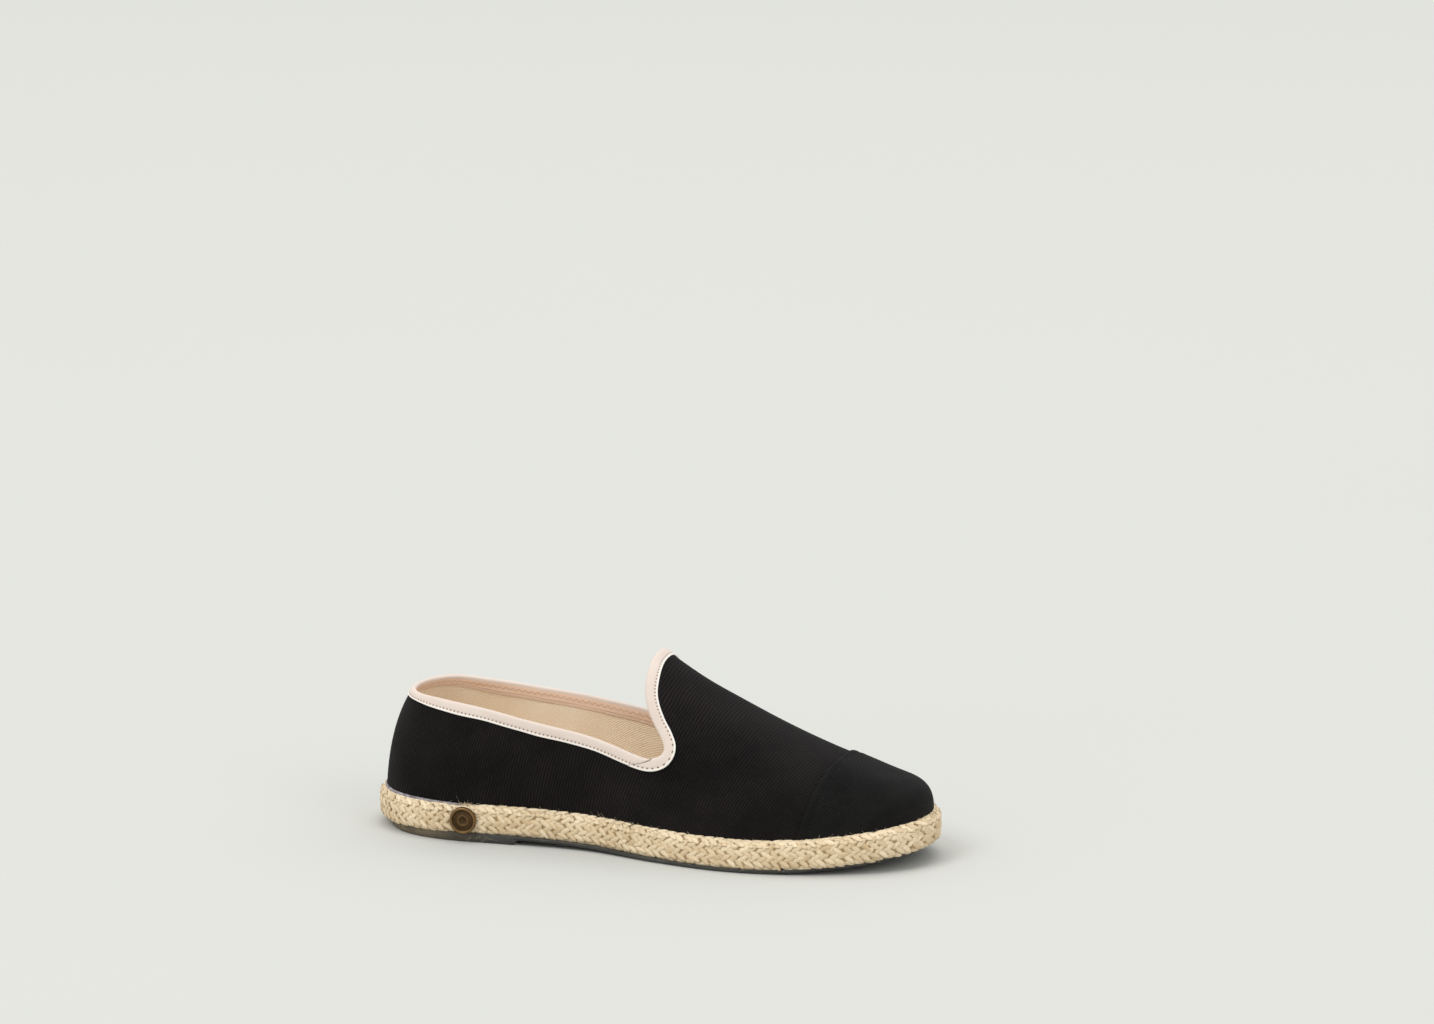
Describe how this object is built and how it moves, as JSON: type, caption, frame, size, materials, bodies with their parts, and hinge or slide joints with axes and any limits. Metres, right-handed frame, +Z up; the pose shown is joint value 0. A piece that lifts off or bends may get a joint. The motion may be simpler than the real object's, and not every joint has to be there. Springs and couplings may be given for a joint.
{
  "type": "espadrille",
  "caption": "Slip-on espadrille: canvas upper with toe cap and taped slipper opening, braided jute sole, thin rubber outsole with heel, one rivet.",
  "frame": {"origin": "on the floor, under the middle of the whole shoe's length and width", "axes": "+X towards the toe, -Y towards the outer side of the foot, +Z up"},
  "size_m": [0.2754, 0.0982, 0.0924],
  "materials": {
    "rubber": "matt moulded rubber",
    "braided_jute": "natural braided jute, dry and fibrous",
    "insole_cloth": "beige cotton twill",
    "canvas": "black ribbed cotton canvas",
    "cap_canvas": "black ribbed cotton canvas",
    "cotton_tape": "off-white cotton tape",
    "aged_brass": "dark aged brass"
  },
  "bodies": {
    "root": {"outsole": "rubber", "jute_sole": "braided_jute", "insole": "insole_cloth", "upper": "canvas", "toe_cap": "cap_canvas", "topline_binding": "cotton_tape", "throat_binding": "cotton_tape", "rivet": "aged_brass"}
  },
  "joints": []
}
